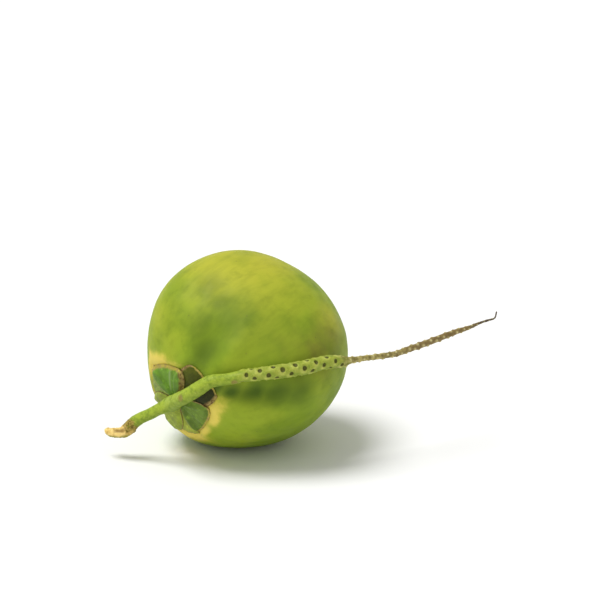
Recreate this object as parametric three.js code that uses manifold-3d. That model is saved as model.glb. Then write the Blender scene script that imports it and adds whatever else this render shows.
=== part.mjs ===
// A green coconut as picked: the husk, the six leathery tepals of its calyx and the
// spikelet that it grew on. Millimetres, +Z up. The origin is the middle of the small
// flat spot that the husk rests on, right below the fruit's centre. The stem end points
// along -Y and a little down, and the spikelet runs past it from -Y to +Y.

import * as THREE from 'three';
import { mergeVertices } from 'three/addons/utils/BufferGeometryUtils.js';
import Module from 'manifold-3d';

const { degToRad, radToDeg, smoothstep, lerp, euclideanModulo } = THREE.MathUtils;

// ---------------------------------------------------------------------------
// Driving dimensions
// ---------------------------------------------------------------------------

// The fruit's own frame has its stem end on +Z. A place on the husk is a polar angle
// from the stem end and an azimuth round the axis, both in degrees.
const STEM_END_DROP = 18.1;        // how far the stem end points below level
const CENTRE_HEIGHT = 76.5;        // of the fruit's centre above the surface it rests on

const GIRTH_RADIUS = 81.4;
const STEM_HALF = 80.6;            // centre to stem end, before the dimple
const BLOSSOM_HALF = 85.1;         // centre to blossom end
const STEM_FULLNESS = 0.863;       // below 1 is blunter than an ellipse
const BLOSSOM_FULLNESS = 1.137;    // above 1 is more pointed than an ellipse
const FULLNESS_RISE = 0.8;         // cosine of the polar angle where it is reached
const DIMPLE_DEPTH = 3.8;
const DIMPLE_SPREAD = 19;

const LOBE_SWELL = 0.096;          // three broad lobes, as a part of the girth
const LOBE_TURN = -6.5;
const RIB_SWELL = 0.014;           // six faint ribs
const OVALNESS = 0.01;
const OVAL_TURN = 12.4;
const STEM_LOBES = { polar: 54.4, spread: 45.8, weight: 1 };
const BLOSSOM_LOBES = { polar: 131.8, spread: 40.1, weight: 0.45 };

// The front of the underside is a little fuller, and the hidden lobe behind it is lower,
// so the fruit's weight is above the spot that it lies on.
const SWELLS = [
  { polar: 84, azimuth: 288, height: 3, polarSpread: 28, azimuthSpread: 30 },
  { polar: 80, azimuth: 233, height: -6, polarSpread: 34, azimuthSpread: 30 },
];

// Small ridges (+) and hollows (-) that run down from the calyx and fade out.
const CREST_FADE = 8;
const CRESTS = [
  { from: 34, to: 75, azimuthFrom: 40, azimuthTo: 43, height: 3, spread: 12 },
  { from: 30, to: 62, azimuthFrom: 52, azimuthTo: 61, height: -3.5, spread: 13 },
  { from: 26, to: 74, azimuthFrom: 20, azimuthTo: 1, height: -3.5, spread: 10 },
];

const HUSK_SEGMENTS = 52;
const HUSK_RINGS = 34;

// Three inner tepals lie on the husk, and three outer ones lap over their edges. Each has
// its azimuth, reach, half width and half the angle that its base spreads to, in degrees.
const TEPAL_THICKNESS = 1.6;
const TEPAL_EDGE_THICKNESS = 0.8;
const TEPAL_HOLE = 5.2;            // where the tepals leave room for the stub
const TEPAL_TIP_NARROWING = 0.1;
const TEPAL_CORNER_DROP = 0.12;    // how much shorter a tepal is at its corners
const TEPAL_COLUMNS = 12;
const TEPAL_ROWS = 6;
const INNER_LIFT = 0.5;
const OUTER_LIFT = 2.5;
const INNER_TEPALS = [
  { azimuth: 39, reach: 30, halfWidth: 13.5, spread: 46 },
  { azimuth: 165, reach: 23, halfWidth: 12.5, spread: 46 },
  { azimuth: 258, reach: 22.8, halfWidth: 13.5, spread: 46 },
];
const OUTER_TEPALS = [
  { azimuth: 105, reach: 19.3, halfWidth: 16, spread: 57 },
  { azimuth: 219, reach: 24, halfWidth: 13, spread: 50 },
  { azimuth: 327, reach: 18.6, halfWidth: 13.5, spread: 53 },
];

// The spikelet's centre line and radius: x, y, z, radius. It starts at the torn heel,
// crosses the stem end, lies along the husk and then runs free to its thin dry tip.
const SPIKELET_ROUTE = [
  [-50, -108.9, 23.6, 2],
  [-47.7, -108.1, 22.2, 3.6],
  [-44.3, -106.7, 21.6, 4.5],
  [-39.8, -104.2, 21.9, 4.9],
  [-35.5, -101.4, 23.2, 5.5],
  [-32.3, -98.8, 26.4, 5.8],
  [-29.3, -96.5, 30.8, 5.2],
  [-24.4, -93.8, 35.2, 4.8],
  [-15.1, -89.9, 41.1, 4.7],
  [-9, -87.2, 45.5, 4.9],
  [-0.4, -83.4, 50.9, 5.8],
  [13, -85.6, 58.8, 6],
  [26.5, -87, 66.8, 5.9],
  [37.6, -84.1, 75.2, 5.9],
  [46, -79.2, 82, 5.3],
  [55, -68.4, 84, 4.7],
  [63.6, -59.2, 87, 4.8],
  [70, -52.1, 88.2, 5],
  [76.2, -44.7, 89, 5.2],
  [83.5, -32.3, 90.2, 5.4],
  [89.3, -18.5, 90.8, 5.6],
  [92.8, -2.6, 91.8, 5.3],
  [95.5, 8.8, 91.4, 5.1],
  [97.5, 16.6, 90.5, 4.6],
  [99.5, 25.9, 89.9, 3],
  [101.9, 37.6, 89.4, 2.5],
  [105, 52.7, 88.4, 2.5],
  [107.5, 68.2, 87.8, 2.6],
  [108.7, 79.1, 88.9, 2.8],
  [110.4, 95.5, 90.3, 2.9],
  [111.8, 112, 92, 2.8],
  [113, 128.8, 93.7, 2.5],
  [114, 143.4, 94.5, 1.8],
  [114.8, 156.9, 96.2, 1.1],
  [115.4, 164.4, 96.5, 1],
  [116.2, 170.9, 97.3, 0.8],
  [114.9, 174.2, 101.6, 0.6],
];
const SPIKELET_SIDES = 10;
const SPIKELET_STEPS = 72;

// The short stub that joins the spikelet to the stem end, in the fruit's own frame.
const STUB_RADIUS_AT_HUSK = 9;
const STUB_RADIUS_AT_SPIKELET = 4.5;
const STUB_GAP = 0.4;
const STUB_LENGTH = 9.2;
const STUB_SIDES = 14;

// ---------------------------------------------------------------------------
// Materials
// ---------------------------------------------------------------------------

const huskSkin = new THREE.MeshStandardMaterial({ color: 0x90a93a, roughness: 0.55, metalness: 0 });
const innerTepalSkin = new THREE.MeshStandardMaterial({ color: 0x57733a, roughness: 0.65, metalness: 0 });
const outerTepalSkin = new THREE.MeshStandardMaterial({ color: 0x4d7a3c, roughness: 0.65, metalness: 0 });
const spikeletSkin = new THREE.MeshStandardMaterial({ color: 0x97a94a, roughness: 0.6, metalness: 0 });

// ---------------------------------------------------------------------------
// The surface of the fruit, in its own frame
// ---------------------------------------------------------------------------

function bell(offset, spread) {
  return Math.exp(-((offset / spread) ** 2));
}

// The signed difference of two azimuths in degrees, from -180 to 180.
function turnBetween(a, b) {
  return euclideanModulo(a - b + 180, 360) - 180;
}

function fullness(cosine) {
  const full = cosine > 0 ? STEM_FULLNESS : BLOSSOM_FULLNESS;
  return lerp(1, full, smoothstep(Math.abs(cosine), 0, FULLNESS_RISE));
}

function lobeFactor(polar, azimuth) {
  let weight = 0;
  for (const lobes of [STEM_LOBES, BLOSSOM_LOBES]) {
    weight += lobes.weight * bell(polar - lobes.polar, lobes.spread);
  }
  const turn = degToRad(azimuth - LOBE_TURN);
  const lobes = LOBE_SWELL * Math.cos(3 * turn) + RIB_SWELL * Math.cos(6 * turn);
  return 1 + lobes * weight + OVALNESS * Math.cos(2 * degToRad(azimuth - OVAL_TURN));
}

function swellHeight(polar, azimuth) {
  let height = 0;
  for (const swell of SWELLS) {
    height += swell.height
      * bell(polar - swell.polar, swell.polarSpread)
      * bell(turnBetween(azimuth, swell.azimuth), swell.azimuthSpread);
  }
  for (const crest of CRESTS) {
    const run = (polar - crest.from) / (crest.to - crest.from);
    const length = crest.to - crest.from + 2 * CREST_FADE;
    const along = THREE.MathUtils.clamp((polar - crest.from + CREST_FADE) / length, 0, 1);
    const middle = lerp(crest.azimuthFrom, crest.azimuthTo, run);
    height += crest.height
      * Math.sin(Math.PI * along) ** 2
      * bell(turnBetween(azimuth, middle), crest.spread);
  }
  return height;
}

function huskPoint(polar, azimuth) {
  const cosine = Math.cos(degToRad(polar));
  const sine = Math.max(Math.sin(degToRad(polar)), 0);
  const swell = swellHeight(polar, azimuth);
  const half = cosine > 0 ? STEM_HALF : BLOSSOM_HALF;
  const height = half * cosine - DIMPLE_DEPTH * bell(polar, DIMPLE_SPREAD) + swell * cosine;
  const radius = GIRTH_RADIUS * sine ** fullness(cosine) * lobeFactor(polar, azimuth) + swell * sine;
  const turn = degToRad(azimuth);
  return new THREE.Vector3(radius * Math.cos(turn), radius * Math.sin(turn), height);
}

function huskNormal(polar, azimuth) {
  const step = 0.5;
  const down = huskPoint(polar + step, azimuth).sub(huskPoint(polar - step, azimuth));
  const round = huskPoint(polar, azimuth + step).sub(huskPoint(polar, azimuth - step));
  return down.cross(round).normalize();
}

function pointAboveHusk(polar, azimuth, lift) {
  return huskPoint(polar, azimuth).addScaledVector(huskNormal(polar, azimuth), lift);
}

// ---------------------------------------------------------------------------
// Mesh helpers
// ---------------------------------------------------------------------------

const WELD = 1e-4;                 // vertices closer than this are one

// Moves every vertex of a geometry with place(vertex), and joins the shared vertices.
function reshape(geometry, place) {
  geometry.deleteAttribute('normal');
  geometry.deleteAttribute('uv');
  const positions = geometry.getAttribute('position');
  const vertex = new THREE.Vector3();
  for (let i = 0; i < positions.count; i += 1) {
    vertex.fromBufferAttribute(positions, i);
    const placed = place(vertex);
    positions.setXYZ(i, placed.x, placed.y, placed.z);
  }
  const merged = mergeVertices(geometry, WELD);
  merged.computeVertexNormals();
  return merged;
}

const wasm = await Module();
wasm.setup();

function toSolid(geometry) {
  const bare = geometry.clone();
  bare.deleteAttribute('normal');
  bare.deleteAttribute('uv');
  const merged = mergeVertices(bare, WELD);
  return new wasm.Manifold(new wasm.Mesh({
    numProp: 3,
    vertProperties: new Float32Array(merged.getAttribute('position').array),
    triVerts: new Uint32Array(merged.getIndex().array),
  }));
}

function toGeometry(solid) {
  const mesh = solid.getMesh();
  const geometry = new THREE.BufferGeometry();
  geometry.setAttribute('position', new THREE.BufferAttribute(mesh.vertProperties, 3));
  geometry.setIndex(new THREE.BufferAttribute(mesh.triVerts, 1));
  geometry.computeVertexNormals();
  return geometry;
}

function named(name, geometry, material) {
  const mesh = new THREE.Mesh(geometry, material);
  mesh.name = name;
  return mesh;
}

// ---------------------------------------------------------------------------
// The pieces
// ---------------------------------------------------------------------------

// The husk lies on its side with a small flat spot, cut level where the floor meets it.
function huskGeometry(lay) {
  const ball = new THREE.SphereGeometry(1, HUSK_SEGMENTS, HUSK_RINGS);
  ball.rotateX(Math.PI / 2);
  const round = reshape(ball, (vertex) => {
    const polar = radToDeg(Math.acos(THREE.MathUtils.clamp(vertex.z, -1, 1)));
    const azimuth = radToDeg(Math.atan2(vertex.y, vertex.x));
    return huskPoint(polar, azimuth).applyMatrix4(lay);
  });
  const slabSize = 4 * GIRTH_RADIUS;
  const slab = new THREE.BoxGeometry(slabSize, slabSize, GIRTH_RADIUS);
  slab.translate(0, 0, -GIRTH_RADIUS / 2);
  return toGeometry(toSolid(round).subtract(toSolid(slab)));
}

// A thin block bent over the husk: x runs across the tepal, y from the stalk to the tip
// and z out through its thickness. It widens from its base and thins to its edges.
function tepalGeometry({ azimuth, reach, halfWidth, spread }, lift) {
  const block = new THREE.BoxGeometry(1, 1, 1, TEPAL_COLUMNS, TEPAL_ROWS, 1);
  return reshape(block, (vertex) => {
    const across = -2 * vertex.x;
    const along = vertex.y + 0.5;
    const out = vertex.z + 0.5;
    const tip = reach * (1 - TEPAL_CORNER_DROP * Math.abs(across) ** 3);
    const forward = lerp(TEPAL_HOLE, tip, along);
    const opened = Math.tanh((Math.tan(degToRad(spread)) * forward) / halfWidth);
    const aside = across * halfWidth * opened * (1 - TEPAL_TIP_NARROWING * along ** 6);
    const polar = Math.hypot(forward, aside);
    const turn = azimuth + radToDeg(Math.atan2(aside, forward));
    const edge = Math.max(Math.abs(across), along) ** 4;
    const thickness = lerp(TEPAL_THICKNESS, TEPAL_EDGE_THICKNESS, edge);
    return pointAboveHusk(polar, turn, lift + thickness * out);
  });
}

function spikeletTube() {
  const points = SPIKELET_ROUTE.map(([x, y, z]) => new THREE.Vector3(x, y, z));
  const line = new THREE.CatmullRomCurve3(points);
  const frames = line.computeFrenetFrames(SPIKELET_STEPS);
  const tube = new THREE.CylinderGeometry(1, 1, 1, SPIKELET_SIDES, SPIKELET_STEPS);
  return reshape(tube, (vertex) => {
    const step = Math.round((vertex.y + 0.5) * SPIKELET_STEPS);
    const place = line.getUtoTmapping(step / SPIKELET_STEPS) * (points.length - 1);
    const before = Math.min(Math.floor(place), points.length - 2);
    const radius = lerp(SPIKELET_ROUTE[before][3], SPIKELET_ROUTE[before + 1][3], place - before);
    return line.getPointAt(step / SPIKELET_STEPS)
      .addScaledVector(frames.normals[step], radius * vertex.x)
      .addScaledVector(frames.binormals[step], -radius * vertex.z);
  });
}

function spikeletGeometry(lay) {
  const stub = new THREE.CylinderGeometry(
    STUB_RADIUS_AT_SPIKELET, STUB_RADIUS_AT_HUSK, STUB_LENGTH, STUB_SIDES,
  );
  stub.rotateX(Math.PI / 2);
  stub.translate(0, 0, huskPoint(0, 0).z + STUB_GAP + STUB_LENGTH / 2);
  stub.applyMatrix4(lay);
  return toGeometry(toSolid(spikeletTube()).add(toSolid(stub)));
}

// ---------------------------------------------------------------------------
// The coconut
// ---------------------------------------------------------------------------

const coconut = new THREE.Group();

const calyx = new THREE.Group();
calyx.position.set(0, 0, CENTRE_HEIGHT);
calyx.rotation.x = degToRad(90 + STEM_END_DROP);
calyx.updateMatrix();
coconut.add(calyx);

coconut.add(named('husk', huskGeometry(calyx.matrix), huskSkin));
INNER_TEPALS.forEach((tepal, i) => {
  calyx.add(named(`inner_tepal_${i + 1}`, tepalGeometry(tepal, INNER_LIFT), innerTepalSkin));
});
OUTER_TEPALS.forEach((tepal, i) => {
  calyx.add(named(`outer_tepal_${i + 1}`, tepalGeometry(tepal, OUTER_LIFT), outerTepalSkin));
});
coconut.add(named('spikelet', spikeletGeometry(calyx.matrix), spikeletSkin));

export default coconut;
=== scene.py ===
import math
from collections import namedtuple

import bmesh
import bpy
import numpy as np
from bpy.props import FloatProperty, FloatVectorProperty, PointerProperty
from mathutils import Matrix, Vector, noise


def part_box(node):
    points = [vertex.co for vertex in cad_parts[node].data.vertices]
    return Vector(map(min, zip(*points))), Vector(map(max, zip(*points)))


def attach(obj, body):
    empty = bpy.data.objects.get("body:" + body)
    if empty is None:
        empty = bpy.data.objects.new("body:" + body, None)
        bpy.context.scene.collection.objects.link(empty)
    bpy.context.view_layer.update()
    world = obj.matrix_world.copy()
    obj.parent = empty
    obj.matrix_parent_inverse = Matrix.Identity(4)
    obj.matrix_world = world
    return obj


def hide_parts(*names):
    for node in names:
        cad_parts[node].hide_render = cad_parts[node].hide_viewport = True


bl_info = {
    "name": "Green Coconut",
    "version": (1, 0, 0),
    "blender": (4, 5, 0),
    "location": "3D View > Sidebar > Coconut",
    "description": "Makes a young green coconut with its calyx and spikelet",
    "category": "Add Mesh",
}

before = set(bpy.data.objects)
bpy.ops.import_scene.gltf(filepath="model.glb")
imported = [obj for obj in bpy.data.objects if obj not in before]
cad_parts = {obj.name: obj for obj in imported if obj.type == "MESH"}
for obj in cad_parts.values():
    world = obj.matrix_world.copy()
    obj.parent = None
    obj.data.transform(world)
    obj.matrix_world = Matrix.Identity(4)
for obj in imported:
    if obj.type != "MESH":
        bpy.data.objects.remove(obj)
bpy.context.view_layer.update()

MM = 0.001
HUSK_LOW, HUSK_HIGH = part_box("husk")
HUSK_WIDTH = HUSK_HIGH.x - HUSK_LOW.x
HUSK_TOP = HUSK_HIGH.z

# The fruit's own frame has its stem end on +Z. A place on the husk is a polar angle from
# the stem end and an azimuth round the axis, both in degrees.
STEM_END_DROP = 18.1
CENTRE = Vector((0, 0, 0.4802 * HUSK_TOP))
LAY = Matrix.Translation(CENTRE) @ Matrix.Rotation(math.radians(90 + STEM_END_DROP), 4, "X")

FULLNESS_RISE = 0.8
DIMPLE_SPREAD = 19
LOBE_TURN = -6.5
OVAL_TURN = 12.4
LOBE_BANDS = ((54.4, 45.8, 1.0), (131.8, 40.1, 0.45))  # polar angle, spread, weight

# polar, azimuth, height, polar spread, azimuth spread
SWELLS = ((84, 288, 3 * MM, 28, 30), (80, 233, -6 * MM, 34, 30))

# How far a crest runs out past each of its ends, in degrees.
CREST_FADE = 8
# from polar, to polar, from azimuth, to azimuth, height, spread
CRESTS = (
    (34, 75, 40, 43, 3 * MM, 12),
    (30, 62, 52, 61, -3.5 * MM, 13),
    (26, 74, 20, 1, -3.5 * MM, 10),
)

# The calyx is let into the husk, which swells a little in a collar round it. It covers all
# of the husk up to a few degrees from the stem end.
NEST = 1.2 * MM
COLLAR = 0.6 * MM
CALYX_MIDDLE = 6

# How far from the stem end a tepal starts, in degrees, how much its sides draw in towards
# the tip, and how far the tip's corners lie back from its middle, as parts of its size.
TEPAL_BASE = 1.4
TEPAL_TIP_NARROWING = 0.1
TEPAL_CORNER_DROP = 0.12
# Azimuth, reach, half width and half the angle that the base spreads to, in degrees.
INNER_TEPALS = ((39, 30, 13.5, 46), (165, 23, 12.5, 46), (258, 22.8, 13.5, 46))
OUTER_TEPALS = ((105, 19.3, 16, 57), (219, 24, 13, 50), (327, 18.6, 13.5, 53))

# The spikelet's centre line and radius in millimetres, from its torn heel to its tip.
SPIKELET_ROUTE = (
    (-50, -108.9, 23.6, 2),
    (-47.7, -108.1, 22.2, 3.6),
    (-44.3, -106.7, 21.6, 4.5),
    (-39.8, -104.2, 21.9, 4.9),
    (-35.5, -101.4, 23.2, 5.5),
    (-32.3, -98.8, 26.4, 5.8),
    (-29.3, -96.5, 30.8, 5.2),
    (-24.4, -93.8, 35.2, 4.8),
    (-15.1, -89.9, 41.1, 4.7),
    (-9, -87.2, 45.5, 4.9),
    (-0.4, -83.4, 50.9, 5.8),
    (13, -85.6, 58.8, 6),
    (26.5, -87, 66.8, 5.9),
    (37.6, -84.1, 75.2, 5.9),
    (46, -79.2, 82, 5.3),
    (55, -68.4, 84, 4.7),
    (63.6, -59.2, 87, 4.8),
    (70, -52.1, 88.2, 5),
    (76.2, -44.7, 89, 5.2),
    (83.5, -32.3, 90.2, 5.4),
    (89.3, -18.5, 90.8, 5.6),
    (92.8, -2.6, 91.8, 5.3),
    (95.5, 8.8, 91.4, 5.1),
    (97.5, 16.6, 90.5, 4.6),
    (99.5, 25.9, 89.9, 3),
    (101.9, 37.6, 89.4, 2.5),
    (105, 52.7, 88.4, 2.5),
    (107.5, 68.2, 87.8, 2.6),
    (108.7, 79.1, 88.9, 2.8),
    (110.4, 95.5, 90.3, 2.9),
    (111.8, 112, 92, 2.8),
    (113, 128.8, 93.7, 2.5),
    (114, 143.4, 94.5, 1.8),
    (114.8, 156.9, 96.2, 1.1),
    (115.4, 164.4, 96.5, 1),
    (116.2, 170.9, 97.3, 0.8),
    (114.9, 174.2, 101.6, 0.6),
)
# Places on the route: the collar above the torn heel, the join with the fruit and the ends
# of the pitted stretch.
COLLAR_PLACE = (-29.3, -96.5, 30.8)
JOIN_PLACE = (-0.4, -83.4, 50.9)
PITS_START_PLACE = (62.5, -60.4, 86.7)
PITS_END_PLACE = (98.4, 20.4, 90.2)
# Each of the stalk's small scars: a place on the route and the side that it faces.
STALK_SCARS = (((25, -87, 66), (0.66, -0.6, 0.45)), ((58, -65, 85), (0.6, -0.5, -0.5)))
STALK_SCAR_RADIUS = 3.4 * MM
TEAR_SIDE = (0.54, -0.48, 0.69)  # the side of the heel where it tore off
SPIKELET_SIDES = 48
SPIKELET_STEP = 0.62 * MM
# Pits and knobs follow one another along the stalk in a winding row.
FIRST_PIT_TURN = math.radians(69)
GOLDEN_ANGLE = math.radians(137.508)
PIT_STEP = 2.2 * MM
KNOB_STEP = 1.7 * MM

# How far the middle of the picture lies to the right of and above the husk's centre.
VIEW_RIGHT = 0.0445
VIEW_UP = 0.0433
FLOOR_RADIUS = 9


# ---------------------------------------------------------------------------
# What a user may change
# ---------------------------------------------------------------------------


class CoconutHusk(bpy.types.PropertyGroup):
    girth_radius: FloatProperty(
        name="Girth Radius",
        description="Mean radius of the husk round its middle",
        default=0.49214 * HUSK_WIDTH,
        unit="LENGTH",
    )
    stem_half: FloatProperty(
        name="Stem Half",
        description="Length from the centre to the stem end, before the dimple",
        default=0.48730 * HUSK_WIDTH,
        unit="LENGTH",
    )
    blossom_half: FloatProperty(
        name="Blossom Half",
        description="Length from the centre to the blossom end",
        default=0.51451 * HUSK_WIDTH,
        unit="LENGTH",
    )
    stem_fullness: FloatProperty(
        name="Stem Fullness",
        description="Below 1 makes the stem half blunter than an ellipse",
        default=0.863,
    )
    blossom_fullness: FloatProperty(
        name="Blossom Fullness",
        description="Above 1 makes the blossom half more pointed than an ellipse",
        default=1.137,
    )
    dimple_depth: FloatProperty(
        name="Dimple Depth",
        description="How far the stem end is drawn in under the calyx",
        default=0.02297 * HUSK_WIDTH,
        unit="LENGTH",
    )
    lobe_swell: FloatProperty(
        name="Lobe Swell",
        description="Height of the three broad lobes as a part of the girth",
        default=0.096,
    )
    rib_swell: FloatProperty(
        name="Rib Swell",
        description="Height of the six faint ribs as a part of the girth",
        default=0.014,
    )
    ovalness: FloatProperty(
        name="Ovalness",
        description="How oval the husk is across its axis",
        default=0.01,
    )
    unevenness: FloatProperty(
        name="Unevenness",
        description="Height of the soft dents and swells of the grown skin",
        default=0.5 * MM,
        unit="LENGTH",
    )
    green: FloatVectorProperty(
        name="Green",
        description="Main colour of the skin",
        default=(0.262, 0.375, 0.019, 1),
        size=4,
        subtype="COLOR",
    )
    # Deep Green is painted shade in the hollows and painted shadow under the spikelet, and also
    # the colour of the skin's darker blotches and streaks.
    deep_green: FloatVectorProperty(
        name="Deep Green",
        description="Colour of the skin's shaded hollows and darker blotches",
        default=(0.070, 0.125, 0.008, 1),
        size=4,
        subtype="COLOR",
    )
    # Sunny Green is partly the sun-yellowed skin's own colour and partly painted light and sheen
    # on the top of the husk.
    sunny_green: FloatVectorProperty(
        name="Sunny Green",
        description="Colour of the skin where the sun fell",
        default=(0.475, 0.475, 0.038, 1),
        size=4,
        subtype="COLOR",
    )
    rubbed: FloatVectorProperty(
        name="Rubbed",
        description="Olive brown of rubbed skin",
        default=(0.190, 0.170, 0.030, 1),
        size=4,
        subtype="COLOR",
    )
    cream: FloatVectorProperty(
        name="Cream",
        description="Colour of the pale young skin at the tepals' edges",
        default=(0.760, 0.620, 0.105, 1),
        size=4,
        subtype="COLOR",
    )


class CoconutCalyx(bpy.types.PropertyGroup):
    thickness: FloatProperty(
        name="Thickness",
        description="Thickness of an inner tepal at its middle",
        default=1.5 * MM,
        unit="LENGTH",
    )
    outer_thickness: FloatProperty(
        name="Outer Thickness",
        description="Thickness of an outer tepal at its middle",
        default=2.6 * MM,
        unit="LENGTH",
    )
    edge_thickness: FloatProperty(
        name="Edge Thickness",
        description="Thickness of a tepal's dry margin",
        default=0.45 * MM,
        unit="LENGTH",
    )
    lift: FloatProperty(
        name="Lift",
        description="Gap between a tepal and what it lies on",
        default=0.25 * MM,
        unit="LENGTH",
    )
    dry: FloatVectorProperty(
        name="Dry",
        description="Brown of the dry margins",
        default=(0.330, 0.245, 0.080, 1),
        size=4,
        subtype="COLOR",
    )
    bark: FloatVectorProperty(
        name="Bark",
        description="Darkest brown of the dry margins",
        default=(0.140, 0.085, 0.028, 1),
        size=4,
        subtype="COLOR",
    )
    straw: FloatVectorProperty(
        name="Straw",
        description="Yellow of the withered tips",
        default=(0.460, 0.380, 0.055, 1),
        size=4,
        subtype="COLOR",
    )


class CoconutSpikelet(bpy.types.PropertyGroup):
    pit_depth: FloatProperty(
        name="Pit Depth",
        description="Depth of the pits that the fallen flowers left",
        default=1.5 * MM,
        unit="LENGTH",
    )
    green: FloatVectorProperty(
        name="Green",
        description="Colour of the fresh stalk",
        default=(0.335, 0.440, 0.030, 1),
        size=4,
        subtype="COLOR",
    )
    pitted_green: FloatVectorProperty(
        name="Pitted Green",
        description="Colour of the stalk between its pits",
        default=(0.300, 0.360, 0.028, 1),
        size=4,
        subtype="COLOR",
    )
    dry: FloatVectorProperty(
        name="Dry",
        description="Colour of the dry thin end",
        default=(0.440, 0.370, 0.115, 1),
        size=4,
        subtype="COLOR",
    )
    torn: FloatVectorProperty(
        name="Torn",
        description="Colour of the torn heel's pale flesh",
        default=(0.950, 0.700, 0.240, 1),
        size=4,
        subtype="COLOR",
    )


class CoconutStage(bpy.types.PropertyGroup):
    camera_azimuth: FloatProperty(
        name="Camera Azimuth",
        description="Turn of the camera round the coconut from -Y towards +X",
        default=math.radians(48.4),
        subtype="ANGLE",
    )
    camera_elevation: FloatProperty(
        name="Camera Elevation",
        description="Height of the camera above the horizon",
        default=math.radians(19),
        subtype="ANGLE",
    )
    camera_distance: FloatProperty(
        name="Camera Distance",
        description="Distance from the camera to the husk's centre",
        default=5,
        unit="LENGTH",
    )
    view_width: FloatProperty(
        name="View Width",
        description="Width of the picture at the husk's centre",
        default=0.492,
        unit="LENGTH",
    )
    floor_colour: FloatVectorProperty(
        name="Floor Colour",
        description="Colour of the plain floor",
        default=(0.94, 0.94, 0.94, 1),
        size=4,
        subtype="COLOR",
    )


# ---------------------------------------------------------------------------
# The surface of the fruit
# ---------------------------------------------------------------------------


def bell(offset, spread):
    return np.exp(-((offset / spread) ** 2))


def turn_between(a, b):
    """The signed difference of two azimuths in degrees, from -180 to 180."""
    return (a - b + 180) % 360 - 180


def smooth_rise(value, low, high):
    t = np.clip((value - low) / (high - low), 0, 1)
    return t * t * (3 - 2 * t)


def mix(a, b, share):
    return a + (b - a) * share


def swell_height(polar, azimuth):
    height = np.zeros_like(polar)
    for middle, turn, rise, polar_spread, turn_spread in SWELLS:
        height += (
            rise
            * bell(polar - middle, polar_spread)
            * bell(turn_between(azimuth, turn), turn_spread)
        )
    for start, end, turn_start, turn_end, rise, spread in CRESTS:
        run = (polar - start) / (end - start)
        along = np.clip((polar - start + CREST_FADE) / (end - start + 2 * CREST_FADE), 0, 1)
        middle = mix(turn_start, turn_end, run)
        height += (
            rise * np.sin(np.pi * along) ** 2 * bell(turn_between(azimuth, middle), spread)
        )
    return height


def husk_points(husk, polar, azimuth):
    """Places on the husk in the fruit's own frame, as an array of x, y, z."""
    cosine = np.cos(np.radians(polar))
    sine = np.maximum(np.sin(np.radians(polar)), 1e-9)
    stem_side = cosine > 0
    full = np.where(stem_side, husk.stem_fullness, husk.blossom_fullness)
    full = mix(1, full, smooth_rise(np.abs(cosine), 0, FULLNESS_RISE))
    lobes = husk.lobe_swell * np.cos(3 * np.radians(azimuth - LOBE_TURN))
    lobes += husk.rib_swell * np.cos(6 * np.radians(azimuth - LOBE_TURN))
    weight = sum(share * bell(polar - middle, spread) for middle, spread, share in LOBE_BANDS)
    oval = husk.ovalness * np.cos(2 * np.radians(azimuth - OVAL_TURN))
    swell = swell_height(polar, azimuth)
    radius = husk.girth_radius * sine**full * (1 + lobes * weight + oval) + swell * sine
    half = np.where(stem_side, husk.stem_half, husk.blossom_half)
    height = half * cosine - husk.dimple_depth * bell(polar, DIMPLE_SPREAD) + swell * cosine
    turn = np.radians(azimuth)
    return np.stack([radius * np.cos(turn), radius * np.sin(turn), height], axis=-1)


def husk_normals(husk, polar, azimuth):
    step = 0.5
    down = husk_points(husk, polar + step, azimuth) - husk_points(husk, polar - step, azimuth)
    around = husk_points(husk, polar, azimuth + step) - husk_points(husk, polar, azimuth - step)
    normals = np.cross(down, around)
    return normals / np.linalg.norm(normals, axis=-1, keepdims=True)


def moved(points, matrix):
    matrix = np.array(matrix)
    return points @ matrix[:3, :3].T + matrix[:3, 3]


def lay_down(points):
    """Moves points from the fruit's own frame to the part's frame."""
    return moved(points, LAY)


def tepal_half_width(tepal, along, run):
    """Half a tepal's width at a distance along it, run being 0 at its base and 1 at its tip."""
    _turn, _reach, half_width, spread = tepal
    opened = np.tanh(math.tan(math.radians(spread)) * np.maximum(along, 0) / half_width)
    return half_width * opened * (1 - TEPAL_TIP_NARROWING * run**6)


def tepal_depth(tepal, polar, azimuth):
    """How far inside a tepal's edge a place on the husk is, in degrees."""
    turn, reach, half_width, _spread = tepal
    off = np.radians(azimuth - turn)
    across, along = polar * np.sin(off), polar * np.cos(off)
    run = np.clip((along - TEPAL_BASE) / (reach - TEPAL_BASE), 0, 1)
    tip = reach * (1 - TEPAL_CORNER_DROP * np.clip(np.abs(across) / half_width, 0, 1) ** 3)
    inside_width = tepal_half_width(tepal, along, run) - np.abs(across)
    return np.min([tip - along, inside_width, along], axis=0)


def calyx_depth(polar, azimuth):
    """How far inside the calyx's outline a place on the husk is, in degrees."""
    depths = [tepal_depth(tepal, polar, azimuth) for tepal in INNER_TEPALS + OUTER_TEPALS]
    return np.max([*depths, CALYX_MIDDLE - polar], axis=0)


def nest_depth(polar, azimuth):
    """How far the calyx is let into the husk."""
    depth = calyx_depth(polar, azimuth)
    return NEST * smooth_rise(depth, -1.5, 0.3) - COLLAR * bell(depth + 4, 2.6)


def wander(points, size, seed):
    """Smooth noise from about -1 to 1 at each point, with features of that size."""
    shift = Vector((seed * 7.31, seed * 3.17, seed * 5.77))
    heights = [noise.noise(Vector(point) / size + shift) for point in points.reshape(-1, 3)]
    return np.array(heights).reshape(points.shape[:-1])


def sheet_wander(across, along, size, seed):
    """Smooth noise over a flat sheet."""
    return wander(np.stack([across, along, np.zeros_like(across)], -1), size, seed)


# ---------------------------------------------------------------------------
# Mesh and material helpers
# ---------------------------------------------------------------------------


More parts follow.
